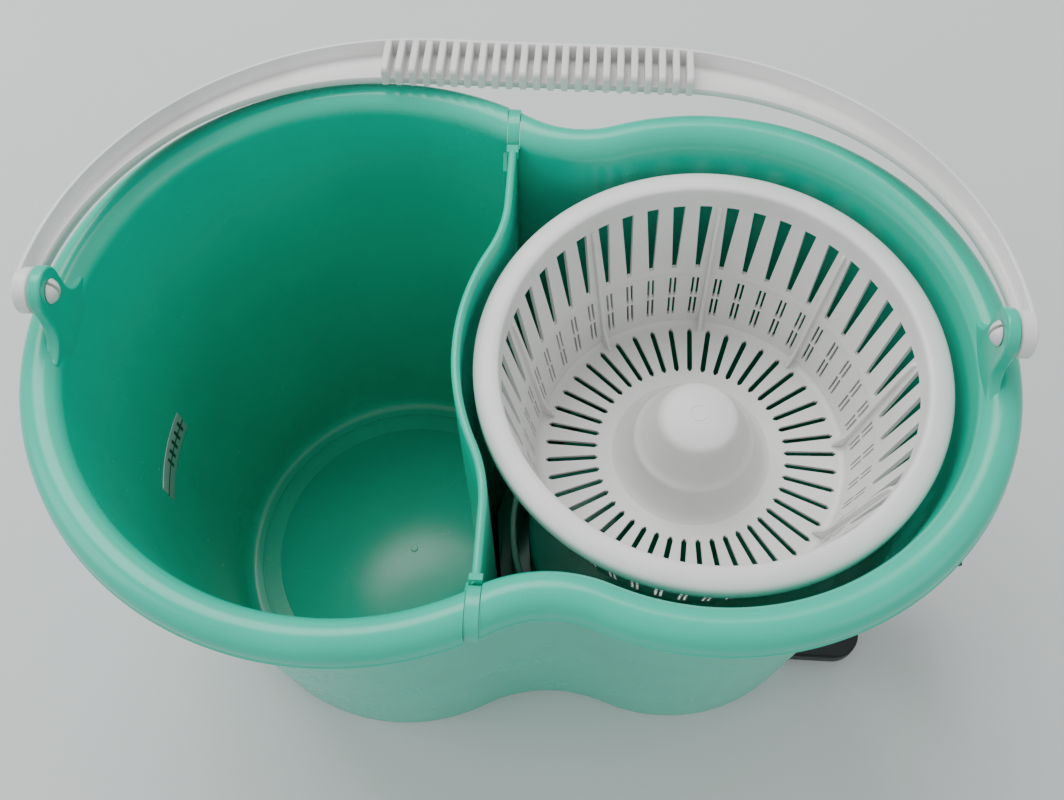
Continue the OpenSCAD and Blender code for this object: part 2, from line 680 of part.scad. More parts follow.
// Pedal lever in its own place: hinge at the origin, x outward, y up
tip_dx = pedal_tip - hinge_x;
tip_dz = pedal_top - hinge_z;
plate_x = spin_x + spin_r - lean + 16 - hinge_x;
plate_z = 30;
module on_hinge() {
    place() translate([hinge_x, 0, hinge_z]) rotate([90, 0, 0]) children();
}
plate_a = atan2(tip_dz - plate_z, tip_dx - plate_x);
module pedal_lever() {
    color([0.13, 0.13, 0.14]) on_hinge() difference() {
        union() {
            // Hub on the hinge pin
            translate([0, 0, -pedal_half + 0.6]) cylinder(r = 9, h = 2 * pedal_half - 1.2);
            // Side arms and the cross web between them
            for (s = [-1, 1]) translate([0, 0, s * 17 - 2.5]) linear_extrude(5) arm_outline(0);
            translate([0, 0, -17]) linear_extrude(34) intersection() {
                difference() {
                    arm_outline(0);
                    translate([6, -2.4]) rotate([0, 0, 27]) translate([-30, 0]) square([100, 30]);
                }
                translate([39.7, -20]) square([26.3, 60]);
            }
            // Foot plate
            translate([plate_x, plate_z, -pedal_half]) rotate([0, 0, plate_a]) linear_extrude(2 * pedal_half)
                plate_outline();
            // Toothed sector
            translate([0, 0, -sector_y - 4]) linear_extrude(8) sector_outline();
            // Spring pad
            translate([31, 6, 0]) rotate([-90, 0, 0]) cylinder(r = 10, h = 3);
            translate([31, 6, -8]) cube([15, 3, 16]);
            translate([31, 7, 0]) rotate([90, 0, 0]) cylinder(r = 4.5, h = 5);
        }
        translate([0, 0, -pedal_half]) cylinder(r = bore_r, h = 2 * pedal_half);
    }
}
module arm_outline(g) {
    polygon([[-4, -6], [6, -6.5], [plate_x - 3, plate_z - 14], [plate_x + 10, plate_z - 4],
             [plate_x + 4, plate_z + 4], [plate_x - 8, plate_z + 2], [-3, 8]]);
}
plate_len = (tip_dx - plate_x - 2 + 2 * sin(plate_a)) / cos(plate_a) - 2;
module plate_outline() {
    difference() {
        union() {
            square([plate_len + 2, 4]);
            translate([plate_len + 2, 2]) circle(2);
        }
        translate([3, 3]) square([plate_len - 6, 2]);
    }
}
sector_from = mesh_angle - 8;
sector_to = mesh_angle + pedal_stroke + 8;
tooth_deg = gear_m * 360 / (2 * sector_r);
module sector_outline() {
    difference() {
        intersection() {
            circle(sector_r - 1.7);
            polygon([[0, 0], [3 * sector_r * cos(sector_from - 1.5), 3 * sector_r * sin(sector_from - 1.5)],
                [3 * sector_r * cos(sector_to + 1.5), 3 * sector_r * sin(sector_to + 1.5)]]);
        }
        // Lightening window
        intersection() {
            difference() {
                circle(sector_r - 9);
                circle(16);
            }
            polygon([[0, 0], [3 * sector_r * cos(sector_from + 8), 3 * sector_r * sin(sector_from + 8)],
                [3 * sector_r * cos(sector_to - 8), 3 * sector_r * sin(sector_to - 8)]]);
        }
    }
    for (i = [-floor(8 / tooth_deg):floor((pedal_stroke + 8) / tooth_deg)]) rotate([0, 0, mesh_angle + i * tooth_deg])
        polygon([[sector_r - 2.7, -tooth_w / 2], [sector_r + 1.2, -tip_w / 2], [sector_r + 1.2, tip_w / 2],
                 [sector_r - 2.7, tooth_w / 2]]);
}
module pedal_tread() {
    color([0.2, 0.2, 0.21]) on_hinge() translate([plate_x, plate_z, -pedal_half + 4]) rotate([0, 0, plate_a])
        linear_extrude(2 * pedal_half - 8) {
            translate([3, 3]) square([plate_len - 6, 1.4]);
            for (i = [0:6]) translate([6 + i * (plate_len - 14) / 6, 4]) square([2.4, 1.6]);
        }
}
module pedal_pin() {
    color("silver") place() translate([hinge_x, 0, hinge_z]) rotate([90, 0, 0]) {
        cylinder(r = shaft_r, h = 2 * pedal_half + 14, center = true);
        translate([0, 0, pedal_half + 6.4]) cylinder(r = 6, h = 1.6);
    }
}

// Compression spring: half turns, each tilted so that it climbs half a coil, joined by balls
coil_r = 7;
wire_r = 0.9;
knot_r = 1.15;
coil_turns = 6;
module pedal_spring() {
    rise = (spring_top - 2 * knot_r - base_top) / (2 * coil_turns);
    tilt = atan(rise / (2 * coil_r));
    color("silver") place() translate([spring_x, 0, base_top + knot_r]) {
        for (i = [0:2 * coil_turns - 1]) translate([0, 0, (i + 0.5) * rise]) rotate([0, 0, 180 * i])
            rotate([0, -tilt, 0]) rotate([0, 0, 2]) rotate_extrude(angle = 176) translate([coil_r, 0])
                circle(wire_r);
        for (i = [0:2 * coil_turns]) translate([(i % 2 == 0 ? -1 : 1) * coil_r, 0, i * rise]) sphere(knot_r);
    }
}

module base_outline(shrink) {
    intersection() {
        union() {
            translate([axis_x, 0]) circle(house_r - 4 - shrink);
            translate([axis_x, -base_half + shrink]) square([base_end - axis_x - 18, 2 * (base_half - shrink)]);
            for (s = [-1, 1]) translate([base_end - 18, s * (base_half - 18)]) circle(18 - shrink);
            translate([axis_x, -base_half + 18]) square([base_end - shrink - axis_x, 2 * base_half - 36]);
        }
        translate([axis_x - 100, -base_half + shrink]) square([300, 2 * (base_half - shrink)]);
    }
}
module base_plate() {
    color([0.12, 0.12, 0.13]) place() difference() {
        union() {
            translate([0, 0, foot_h]) linear_extrude(base_t - 1.5) base_outline(0);
            translate([0, 0, foot_h]) linear_extrude(base_t) base_outline(1.5);
            // Spring seat
            translate([spring_x, 0, base_top - 1]) cylinder(r = 4.5, h = 5);
        }
        // Sockets for the feet, and screw holes
        for (p = foot_spots) translate([p[0], p[1], foot_h - 1]) cylinder(r = 8, h = 3);
        for (p = base_holes) translate([p[0], p[1], 0]) {
            cylinder(r = 2.3, h = 30);
            cylinder(r = 4.4, h = foot_h + 4);
        }
        for (p = frame_holes) translate([p[0], p[1], base_top - 7]) cylinder(r = 1.6, h = 9);
    }
}
module rubber_feet() {
    color([0.2, 0.2, 0.2]) place() for (p = foot_spots) translate([p[0], p[1], 0])
        cylinder(r = 8, h = foot_h + 2);
}

module upright(x, z, y0, y1, r, w) {
    translate([x, y1, 0]) rotate([90, 0, 0]) linear_extrude(y1 - y0) difference() {
        union() {
            translate([0, z]) circle(r);
            translate([-w / 2, base_top]) square([w, z - base_top]);
        }
        translate([0, z]) circle(bore_r);
    }
}
module gearbox_frame() {
    edge = pedal_half + 0.6;
    color([0.3, 0.31, 0.33]) place() {
        difference() {
            union() {
                // Foot plate with a window under the lever and gears
                difference() {
                    translate([axis_x - 40, -38, base_top]) cube([hinge_x - axis_x + 64, 76, 3]);
                    translate([axis_x - 28, -27, base_top - 1]) cube([hinge_x - axis_x + 16, 54, 5]);
                    translate([hinge_x - 8, -22, base_top - 1]) cube([60, 44, 5]);
                }
                // Posts and bridge for the driver stud
                for (x = [axis_x - 38, axis_x + 31]) translate([x, -16, base_top]) cube([4, 20, bridge_z + 5 - base_top]);
                translate([axis_x - 38, -16, bridge_z]) cube([73, 20, 5]);
                translate([axis_x, 0, bridge_z - 1]) intersection() {
                    cylinder(r = 7.5, h = 6);
                    translate([-10, -10, 0]) cube([20, 16, 10]);
                }
                // The posts stand on short cross bars
                for (x = [axis_x - 38, axis_x + 31]) translate([x, -38, base_top]) cube([4, 76, 3]);
            }
            translate([axis_x, 0, bridge_z - 5]) cylinder(r = shaft_r, h = 20);
            for (p = frame_holes) translate([p[0], p[1], base_top - 1]) cylinder(r = 2, h = 6);
        }
        // Uprights for the cross shaft and for the pedal pin
        upright(axis_x, cross_z, shaft_front + 1.2, shaft_front + 5.7, 8.5, 17);
        upright(axis_x, cross_z, shaft_back - 6, shaft_back - 1.5, 8.5, 17);
        difference() {
            union() {
                upright(hinge_x, hinge_z, -edge - 5, -edge, 9, 18);
                upright(hinge_x, hinge_z, edge, edge + 5, 9, 18);
            }
            translate([hinge_x, 60, hinge_z]) rotate([90, 0, 0]) cylinder(r = shaft_r, h = 120);
        }
    }
}

module screw(r, shank, h, head) {
    translate([0, 0, -h]) cylinder(r = shank, h = h);
    difference() {
        cylinder(r = head, h = 2);
        translate([-0.6, -2.2, 1]) cube([1.2, 4.4, 2]);
        translate([-2.2, -0.6, 1]) cube([4.4, 1.2, 2]);
    }
}
module frame_screws() {
    color("silver") place() for (p = frame_holes) translate([p[0], p[1], base_top + 3]) screw(3.5, 1.6, 9.5, 3.6);
}
module base_screws() {
    color("silver") place() for (p = base_holes) translate([p[0], p[1], foot_h + 4]) rotate([180, 0, 0])
        screw(3.5, 1.8, 18, 4);
}

bucket_body();
divider();
bail();
fill_level_label();
spin_basket();
drive_socket();
spindle();
spindle_head();
upper_bush();
lower_bush();
splash_seal();
thrust_washer();
ratchet_hub();
clutch_cup();
driver_stud();
crown_gear();
cross_shaft();
cross_pinion();
shaft_clips();
pedal_lever();
pedal_tread();
pedal_pin();
pedal_spring();
base_plate();
gearbox_frame();
frame_screws();
base_screws();
rubber_feet();
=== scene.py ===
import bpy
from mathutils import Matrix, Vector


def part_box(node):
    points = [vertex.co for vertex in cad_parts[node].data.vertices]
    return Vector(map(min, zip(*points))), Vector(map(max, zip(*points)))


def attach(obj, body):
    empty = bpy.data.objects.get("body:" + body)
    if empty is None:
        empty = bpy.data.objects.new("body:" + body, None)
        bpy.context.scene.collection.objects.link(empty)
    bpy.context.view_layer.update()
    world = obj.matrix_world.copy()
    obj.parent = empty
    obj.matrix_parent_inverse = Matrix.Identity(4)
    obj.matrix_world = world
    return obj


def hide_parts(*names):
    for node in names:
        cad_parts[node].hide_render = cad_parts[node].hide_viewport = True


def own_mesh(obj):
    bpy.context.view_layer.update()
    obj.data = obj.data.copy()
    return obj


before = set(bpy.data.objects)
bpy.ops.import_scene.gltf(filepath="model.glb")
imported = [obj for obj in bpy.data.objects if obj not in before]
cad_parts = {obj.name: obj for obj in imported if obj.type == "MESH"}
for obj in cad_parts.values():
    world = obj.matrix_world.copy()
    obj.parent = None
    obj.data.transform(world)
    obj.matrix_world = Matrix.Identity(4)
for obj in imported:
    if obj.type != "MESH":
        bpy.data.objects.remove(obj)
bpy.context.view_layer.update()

import math

import bmesh
import bpy
from mathutils import Matrix, Vector

# Where things are. The ears' middle and the middle plane of the bucket are the zero of every
# size below, which are in millimetres; at() turns them into the frame's metres.
bail_lo, bail_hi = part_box("bail")
tub_lo, tub_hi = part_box("bucket_body")
mid_x, mid_y = (bail_lo.x + bail_hi.x) / 2, (tub_lo.y + tub_hi.y) / 2


def at(x, y, z):
    return Vector((mid_x + x / 1000, mid_y + y / 1000, z / 1000))


# Camera. It looks down into the bucket from in front, as a person who stands over it would.
pitch, roll, yaw = math.radians(62.18), math.radians(-1.6), math.radians(4.87)
turn = Matrix.Rotation(yaw, 3, "Z")
forward = turn @ Vector((0, math.cos(pitch), -math.sin(pitch)))
upward = turn @ Vector((0, math.sin(pitch), math.cos(pitch)))
right = forward.cross(upward)
tilted_right, tilted_up = (math.cos(roll) * right + math.sin(roll) * upward,
                           math.cos(roll) * upward - math.sin(roll) * right)
camera = bpy.data.objects.new("camera", bpy.data.cameras.new("camera"))
bpy.context.scene.collection.objects.link(camera)
camera.matrix_world = Matrix.Translation(at(30.55, -291.63, 793.33)) @ Matrix(
    (tilted_right, tilted_up, -forward)).transposed().to_4x4()
camera.data.sensor_width = 36
camera.data.lens = 36 * 1190.1 / 1064
camera.data.clip_start = 0.01
bpy.context.scene.camera = camera


# ---------------------------------------------------------------- bucket
# The bucket is one injection moulding in mint polypropylene: a tub of two lobes that lean in
# to the floor, a rim rolled over into a hollow bead, an ear at each end for the bail, and a dry
# housing in the spin chamber's floor with a tower that carries the spindle.
class Value:
    """A socket that numbers and other sockets can be added to, multiplied by and so on."""

    def __init__(self, tree, socket):
        self.tree, self.socket = tree, socket

    def math(self, operation, a, b):
        made = self.tree.nodes.new("ShaderNodeMath")
        made.operation = operation
        for slot, given in zip(made.inputs, (a, b)):
            if isinstance(given, Value):
                self.tree.links.new(given.socket, slot)
            else:
                slot.default_value = given
        return Value(self.tree, made.outputs[0])

    def __add__(self, other):
        return self.math("ADD", self, other)

    def __sub__(self, other):
        return self.math("SUBTRACT", self, other)

    def __rsub__(self, other):
        return self.math("SUBTRACT", other, self)

    def __mul__(self, other):
        return self.math("MULTIPLY", self, other)

    __radd__, __rmul__ = __add__, __mul__


class Finish:
    """A material that is being written, with its one Principled shader."""

    def __init__(self, name, **fixed):
        self.material = bpy.data.materials.new(name)
        self.material.use_nodes = True
        self.tree = self.material.node_tree
        self.shader = self.tree.nodes["Principled BSDF"]
        for socket, value in fixed.items():
            self.shader.inputs[socket.replace("_", " ")].default_value = value

    def node(self, kind, settings=(), sockets=(), out=0):
        made = self.tree.nodes.new(kind)
        for key, value in dict(settings).items():
            setattr(made, key, value)
        for key, value in dict(sockets).items():
            if isinstance(value, Value):
                self.tree.links.new(value.socket, made.inputs[key])
            else:
                made.inputs[key].default_value = value
        return Value(self.tree, made.outputs[out])

    def place(self):
        return self.node("ShaderNodeTexCoord", out="Object")

    def noise(self, size_mm, where=None, detail=2.0, out="Fac"):
        return self.node("ShaderNodeTexNoise", (), {"Vector": where or self.place(),
            "Scale": 1000 / size_mm, "Detail": detail}, out)

    def stretched(self, scale):
        return self.node("ShaderNodeMapping", (), {"Vector": self.place(), "Scale": scale})

    def between(self, low, high, factor):
        """A colour from low to high."""
        return self.node("ShaderNodeMix", {"data_type": "RGBA"},
            {0: factor, 6: (*low, 1), 7: (*high, 1)}, 2)

    def limits(self, value, low, high):
        """0 below low, 1 above high."""
        return self.node("ShaderNodeMapRange", {"interpolation_type": "SMOOTHSTEP"},
            {"Value": value, "From Min": low, "From Max": high})

    def feed(self, socket, value):
        self.tree.links.new(value.socket, self.shader.inputs[socket])

    def bump(self, height, depth_mm, strength=1.0):
        self.feed("Normal", self.node("ShaderNodeBump", (),
            {"Height": height, "Distance": depth_mm / 1000, "Strength": strength}))


def moulded(name, light, dark, rough, grain_mm, grain_depth, scuff=0.1, coat=0.0):
    """Injection-moulded plastic: faint clouding, moulded grain, hairline scuffs and dull rubbed patches."""
    made = Finish(name, IOR=1.49, Coat_Weight=coat, Coat_Roughness=0.12)
    cloud = made.noise(70, detail=3)
    rubbed = made.limits(made.noise(28, detail=5), 0.52, 0.78)
    hairs = made.limits(made.noise(16, made.stretched((1, 9, 26)), 4), 0.63, 0.72)
    cross = made.limits(made.noise(20, made.stretched((22, 2, 3)), 4), 0.65, 0.73)
    made.feed("Base Color", made.between(dark, light, made.limits(cloud, 0.25, 0.7)))
    made.feed("Roughness", cloud * 0.06 + rubbed * scuff + (hairs + cross) * (scuff * 0.5) + (rough - 0.03))
    made.bump(made.noise(grain_mm, detail=3) * 0.8 + cloud * 0.6 - (hairs + cross) * 0.12, grain_depth)
    return made.material


def piece_from(bm, name, material, body, sharp=38):
    """A bmesh in millimetres about the ears' middle becomes a shaded piece that rides on a body."""
    bmesh.ops.recalc_face_normals(bm, faces=bm.faces)
    for vert in bm.verts:
        vert.co = at(*vert.co)
    mesh = bpy.data.meshes.new(name)
    bm.to_mesh(mesh)
    bm.free()
    mesh.shade_smooth()
    mesh.set_sharp_from_angle(angle=math.radians(sharp))
    mesh.materials.append(material)
    made = bpy.data.objects.new(name, mesh)
    bpy.context.scene.collection.objects.link(made)
    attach(made, body)
    return made


def skin(bm, rings, closed_ring=True, closed_path=False, caps=False, keep=None):
    """Faces between rings of points. keep(row, column) says whether a face is made."""
    rows = [[bm.verts.new(point) for point in ring] for ring in rings]
    last = len(rows) if closed_path else len(rows) - 1
    for r in range(last):
        a, b = rows[r], rows[(r + 1) % len(rows)]
        for c in range(len(a) if closed_ring else len(a) - 1):
            d = (c + 1) % len(a)
            if keep is None or keep(r, c):
                bm.faces.new((a[c], a[d], b[d], b[c]))
    if caps:
        bm.faces.new(rows[0])
        bm.faces.new(rows[-1])
    return rows


def arc(cx, cy, r, start, end, steps):
    return [(cx + r * math.cos(math.radians(start + (end - start) * i / steps)),
             cy + r * math.sin(math.radians(start + (end - start) * i / steps))) for i in range(steps + 1)]


def bar(bm, outline, low, high, place):
    """An outline pushed out from low to high; place(a, b, c) says where a point of it goes."""
    skin(bm, [[place(a, b, c) for a, b in outline] for c in (low, high)], caps=True)


def cut_with(piece, bm):
    """Cuts a bmesh in millimetres from a piece."""
    bmesh.ops.recalc_face_normals(bm, faces=bm.faces)
    for vert in bm.verts:
        vert.co = at(*vert.co)
    mesh = bpy.data.meshes.new("cutter")
    bm.to_mesh(mesh)
    bm.free()
    cutter = bpy.data.objects.new("cutter", mesh)
    bpy.context.scene.collection.objects.link(cutter)
    modifier = piece.modifiers.new("cut", "BOOLEAN")
    modifier.operation, modifier.solver, modifier.object = "DIFFERENCE", "EXACT", cutter
    fixed = bpy.data.meshes.new_from_object(piece.evaluated_get(bpy.context.evaluated_depsgraph_get()))
    piece.modifiers.clear()
    piece.data = fixed
    bpy.data.objects.remove(cutter)


def cut(piece, outline, low, high, place):
    """Cuts a pushed-out outline from a piece."""
    bm = bmesh.new()
    bar(bm, outline, low, high, place)
    cut_with(piece, bm)


def rectangle(x0, y0, x1, y1):
    return [(x0, y0), (x1, y0), (x1, y1), (x0, y1)]


def level(a, b, c):
    return (a, b, c)


def upright(a, b, c):
    return (c, a, b)


def soften(piece, width_mm, steps=3, angle=32):
    bevel = piece.modifiers.new("soft edges", "BEVEL")
    bevel.width, bevel.segments = width_mm / 1000, steps
    bevel.limit_method, bevel.angle_limit = "ANGLE", math.radians(angle)
    bevel.harden_normals = False
    piece.data.shade_smooth()
    normals = piece.modifiers.new("flat faces", "WEIGHTED_NORMAL")
    normals.keep_sharp = True
    return piece


mint = moulded("mint_plastic", (0.008, 0.52, 0.355), (0.005, 0.47, 0.32), 0.25, 0.5, 0.004, 0.04)

def here(point):
    """A point of the frame in millimetres about the ears' middle."""
    return Vector(((point.x - mid_x) * 1000, (point.y - mid_y) * 1000, point.z * 1000))


wash_x, wash_r, spin_x, spin_r, waist_r = -80, 161.5, 93, 147, 52
axis_x = here((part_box("spindle")[0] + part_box("spindle")[1]) / 2).x
rim_top, rim_w, wall, lean, floor_z, fillet = 303.5, 20.5, 2.4, 42, 6, 8
rim_half = rim_w / 2
rim_mid = rim_top - rim_half
lip_z = rim_mid - 3.3
wall_slope = (lean - rim_w + wall) / rim_mid


def out_u(z):
    return -lean + wall_slope * z


def in_u(z):
    return out_u(z) - wall


to_wash, to_spin = wash_r + waist_r, spin_r + waist_r
gap = spin_x - wash_x
waist_dx = (gap ** 2 + to_wash ** 2 - to_spin ** 2) / (2 * gap)
waist_y = math.sqrt(to_wash ** 2 - waist_dx ** 2)
waist_x = wash_x + waist_dx
wash_end = math.degrees(math.atan2(waist_y, waist_dx))
spin_end = math.degrees(math.atan2(waist_y, waist_x - spin_x))


def walk(cx, cy, r, side, start, end, steps):
    """Stations along one curve of the tub: where it turns about, its radius and its outward side."""
    return [(cx, cy, r, side, math.radians(start + (end - start) * i / steps)) for i in range(steps)]


stations = (walk(spin_x, 0, spin_r, 1, -spin_end, spin_end, 150)
            + walk(waist_x, waist_y, waist_r, -1, 180 + spin_end, 180 + wash_end, 26)
            + walk(wash_x, 0, wash_r, 1, wash_end, 360 - wash_end, 160)
            + walk(waist_x, -waist_y, waist_r, -1, 180 - wash_end, 180 - spin_end, 26))


def tub_ring(station, profile):
    cx, cy, r, side, angle = station
    return [(cx + (r + side * u) * math.cos(angle), cy + (r + side * u) * math.sin(angle), z)
            for u, z in profile]


foot_u = in_u(floor_z) - fillet
profile = ([(foot_u, floor_z - wall), (in_u(floor_z - wall) - 0.3, floor_z - wall), (in_u(0), 0.4),
            (in_u(0) + 0.5, 0), (out_u(0) - 0.5, 0), (out_u(0), 0.5)]
           + [(out_u(z), z) for z in (20, 60, 110, 160, 210, 250, rim_mid - 6)]
           + arc(-rim_half, rim_mid, rim_half - wall, 180, 0, 10)
           + [(-wall, lip_z + 0.4), (-wall + 0.4, lip_z), (0.2, lip_z), (0.6, lip_z + 0.4), (0.6, lip_z + 0.9),
              (0.1, lip_z + 1.5), (0, lip_z + 2.2)]
           + arc(-rim_half, rim_mid, rim_half, 0, 180, 22)
           + [(in_u(z), z) for z in (rim_mid - 4, 250, 210, 160, 110, 60, 30, floor_z + fillet + 1)]
           + arc(foot_u, floor_z + fillet, fillet, -8, -90, 8))
bm = bmesh.new()
rows = skin(bm, [tub_ring(s, profile) for s in stations], closed_ring=False, closed_path=True)
bm.faces.new([row[0] for row in rows])
bm.faces.new([row[-1] for row in rows])
tub = piece_from(bm, "tub", mint, "bucket")

# Gaps in the rim for the divider's straps
divider_x, notch_half = -11, 3.5
strap_y = math.sqrt(wash_r ** 2 - (divider_x - wash_x) ** 2)
for s in (-1, 1):
    y0, y1 = sorted((s * (strap_y - rim_w - 8), s * (strap_y + 10)))
    cut(tub, rectangle(divider_x - notch_half, y0, divider_x + notch_half, y1), lip_z + 1.5, 320, level)
    y0, y1 = sorted((s * (strap_y - 7), s * (strap_y + 10)))
    cut(tub, rectangle(divider_x - notch_half, y0, divider_x + notch_half, y1), lip_z - 2, lip_z + 3, level)

# The floor is open under the housing, and the wall is open for the base plate and the pedal
house_r, house_half, house_z = 93, 66.5, 72
edge = math.degrees(math.asin(house_half / house_r))
opening = arc(axis_x, 0, house_r - 2, edge, 360 - edge, 60) + [(185, -house_half + 2), (185, house_half - 2)]
cut(tub, opening, -5, floor_z + 3, level)
cut(tub, rectangle(spin_x + 60, -63.6, 240, 63.6), -5, 11.6, level)
cut(tub, rectangle(spin_x + 60, -34, 240, 34), -5, 68, level)


# A shallow groove round the wash floor, a panel that stands a little proud inside it, and the
# stub that the mould's gate leaves in its middle
def turned(bm, cx, cy, profile, start=0, end=360, steps=96, caps=False):
    """A profile of (radius, height) points turned about an upright axis."""
    whole = end - start == 360
    rings = [[(cx + r * math.cos(a), cy + r * math.sin(a), z) for r, z in profile]
             for a in (math.radians(start + (end - start) * i / steps) for i in range(steps + (not whole)))]
    skin(bm, rings, closed_path=whole, caps=caps)


groove_cutter = bmesh.new()
turned(groove_cutter, wash_x, 0, [(104.4, floor_z - 0.7), (105.8, floor_z - 0.7), (106.4, floor_z + 1), (103.8, floor_z + 1)])
cut_with(tub, groove_cutter)
tub.data.shade_smooth()
tub.data.set_sharp_from_angle(angle=math.radians(38))
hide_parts("bucket_body")

bm = bmesh.new()
panel_r = 93.5
panel_edge = math.degrees(math.acos((axis_x - house_r - 20 - wash_x) / panel_r))
outline = arc(wash_x, 0, panel_r, panel_edge, 360 - panel_edge, 90)
inset = arc(wash_x, 0, panel_r - 0.8, panel_edge + 0.4, 359.6 - panel_edge, 90)
inset[0], inset[-1] = (inset[0][0] - 0.8, inset[0][1]), (inset[-1][0] - 0.8, inset[-1][1])
skin(bm, [[(a, b, floor_z - 0.5) for a, b in outline], [(a, b, floor_z + 0.3) for a, b in outline],
          [(a, b, floor_z + 0.8) for a, b in inset]], caps=True)
turned(bm, wash_x, 0, [(0, floor_z + 0.5), (2.5, floor_z + 0.5), (2.5, floor_z + 1.3), (2.2, floor_z + 1.6),
                       (0, floor_z + 1.5)], steps=24)
bmesh.ops.remove_doubles(bm, verts=bm.verts, dist=0.001)
floor_panel = piece_from(bm, "floor_panel", mint, "bucket")

# Ears that stand on the rim's inner edge, with flared feet and a hole for the bail's pin
ear_x, ear_t = 223, 6.2
pin_z = rim_top + 22
ear_outline = ([(-26, rim_top - 16), (26, rim_top - 16)] + arc(26, rim_top + 11, 14, 270, 180, 14)
               + arc(0, pin_z, 12, 0, 180, 28) + arc(-26, rim_top + 11, 14, 0, -90, 14))
for name, x in (("left", -ear_x), ("right", ear_x)):
    bm = bmesh.new()
    bar(bm, ear_outline, x - ear_t / 2, x + ear_t / 2, upright)
    ear = piece_from(bm, name + "_ear", mint, "bucket")
    cut(ear, arc(0, pin_z, 5, 0, 360, 48)[:-1], x - 8, x + 8, upright)
    soften(ear, 1.3, 4, 40)

# An upright rib beside each end of the divider keeps it in its place
divider_t = 4.2
bm = bmesh.new()
for s in (-1, 1):
    x = divider_x - divider_t / 2 - 2.2
    tall = [150, 190, 240, rim_mid - 12]
    depth = lambda z, inward: s * math.sqrt((wash_r + in_u(z) - inward) ** 2 - (x - wash_x) ** 2)
    edge_line = ([(depth(z, 6.8), z) for z in tall] + [(depth(rim_mid - 6, 0.6), rim_mid - 5)]
                 + [(depth(z, -1), z) for z in reversed(tall)] + [(depth(146, 0), 146)])
    bar(bm, edge_line, x - 1.2, x + 1.2, upright)
guide_ribs = soften(piece_from(bm, "divider_guides", mint, "bucket"), 0.4, 2, 40)

# Low fence between the divider's foot and the housing, with a drain slot each side of it
bm = bmesh.new()
bar(bm, arc(axis_x, 0, house_r + 12.5, 128, 232, 60) + arc(axis_x, 0, house_r + 8, 232, 128, 60),
    floor_z - 0.5, house_z, level)
soften(piece_from(bm, "drain_fence", mint, "bucket"), 1.0, 3, 40)

# Dry housing over the gears, open below, with a tapering tower up its middle
def house_ring(z, inside, round_off=0.0):
    reach = spin_r + in_u(z) + 1.0 - (0.4 if inside else 0)
    radius, half = house_r - inside - round_off, house_half - inside - round_off
    corner = math.degrees(math.asin(half / radius))
    end = math.degrees(math.asin(half / reach))
    return [(a, b, z) for a, b in arc(axis_x, 0, radius, corner, 360 - corner, 72)
            + arc(spin_x, 0, reach, -end, end, 24)]


bm = bmesh.new()
skin(bm, [house_ring(house_z - 3, 3, 1), house_ring(house_z - 4, 3), house_ring(floor_z - 2, 3), house_ring(floor_z - 2, 0),
          house_ring(30, 0), house_ring(house_z - 3, 0), house_ring(house_z - 1.5, 0, 0.4),
          house_ring(house_z - 0.4, 0, 1.5), house_ring(house_z, 0, 3)], caps=True)
housing = piece_from(bm, "dry_housing", mint, "bucket")
cut(housing, arc(axis_x, 0, 31, 0, 360, 72)[:-1], house_z - 8, house_z + 5, level)
cut(housing, rectangle(spin_x + 60, -63.6, 240, 63.6), -5, 11.6, level)
cut(housing, rectangle(spin_x + 60, -34, 240, 34), -5, 68, level)
housing.data.shade_smooth()
housing.data.set_sharp_from_angle(angle=math.radians(38))
tower_top = 196
bm = bmesh.new()
turned(bm, axis_x, 0, [(31, house_z - 3), (37, house_z - 3), (37, house_z + 0.2), (34.5, house_z + 1.4),
    (33, house_z + 4), (21.4, tower_top - 2.5), (20.6, tower_top - 0.8), (19, tower_top), (8, tower_top),
    (8, tower_top - 13), (18.4, tower_top - 13), (26.9, 108), (8, 108), (8, 100), (27.4, 100), (30, house_z + 3)])
for dx, dy in ((-60, -42), (-60, 42), (76, -54), (76, 54)):
    turned(bm, axis_x + dx, dy, [(1.8, 11), (4.7, 11), (5, 11.4), (5, house_z - 2.5), (1.8, house_z - 2.5)], steps=32)
tower = piece_from(bm, "spindle_tower", mint, "bucket")


# ---------------------------------------------------------------- divider
# A loose wall of the same mint plastic that keeps the wash water out of the spin chamber. It is
# pushed down between the guide ribs, and a flat strap at each end hooks over the rim.
divider_r, blend_r = 125, 74
blend_x = divider_x - blend_r
blend_y = math.sqrt((divider_r + blend_r) ** 2 - (axis_x - blend_x) ** 2)
blend_turn = math.degrees(math.atan2(blend_y, axis_x - blend_x))
divider_top = rim_top - 6.5


def divider_points(z, side, thin=0.0):
    h = side * (divider_t / 2 - thin)
    reach = wash_r + in_u(max(z, 14)) - (7.5 if z < 9 else 3.5 if z < 15 else 1.2)
    end_x = blend_x + blend_r + h
    end_y = math.sqrt(reach ** 2 - (end_x - wash_x) ** 2) - thin * 0.6
    # Near the floor the straight ends vanish into the curves, which stop at the wall
    far_y = max(end_y, blend_y + 0.5)
    points = ([(end_x, -far_y + (far_y - blend_y) * i / 6) for i in range(6)]
              + arc(blend_x, -blend_y, blend_r + h, 0, blend_turn, 18)[:-1]
              + arc(axis_x, 0, divider_r - h, 180 + blend_turn, 180 - blend_turn, 48)
              + arc(blend_x, blend_y, blend_r + h, -blend_turn, 0, 18)[1:]
              + [(end_x, blend_y + (far_y - blend_y) * (i + 1) / 6) for i in range(6)])
    if end_y < far_y:
        points = [(a, max(-end_y, min(end_y, b))) for a, b in points]
    return [(a, b, z) for a, b in points]


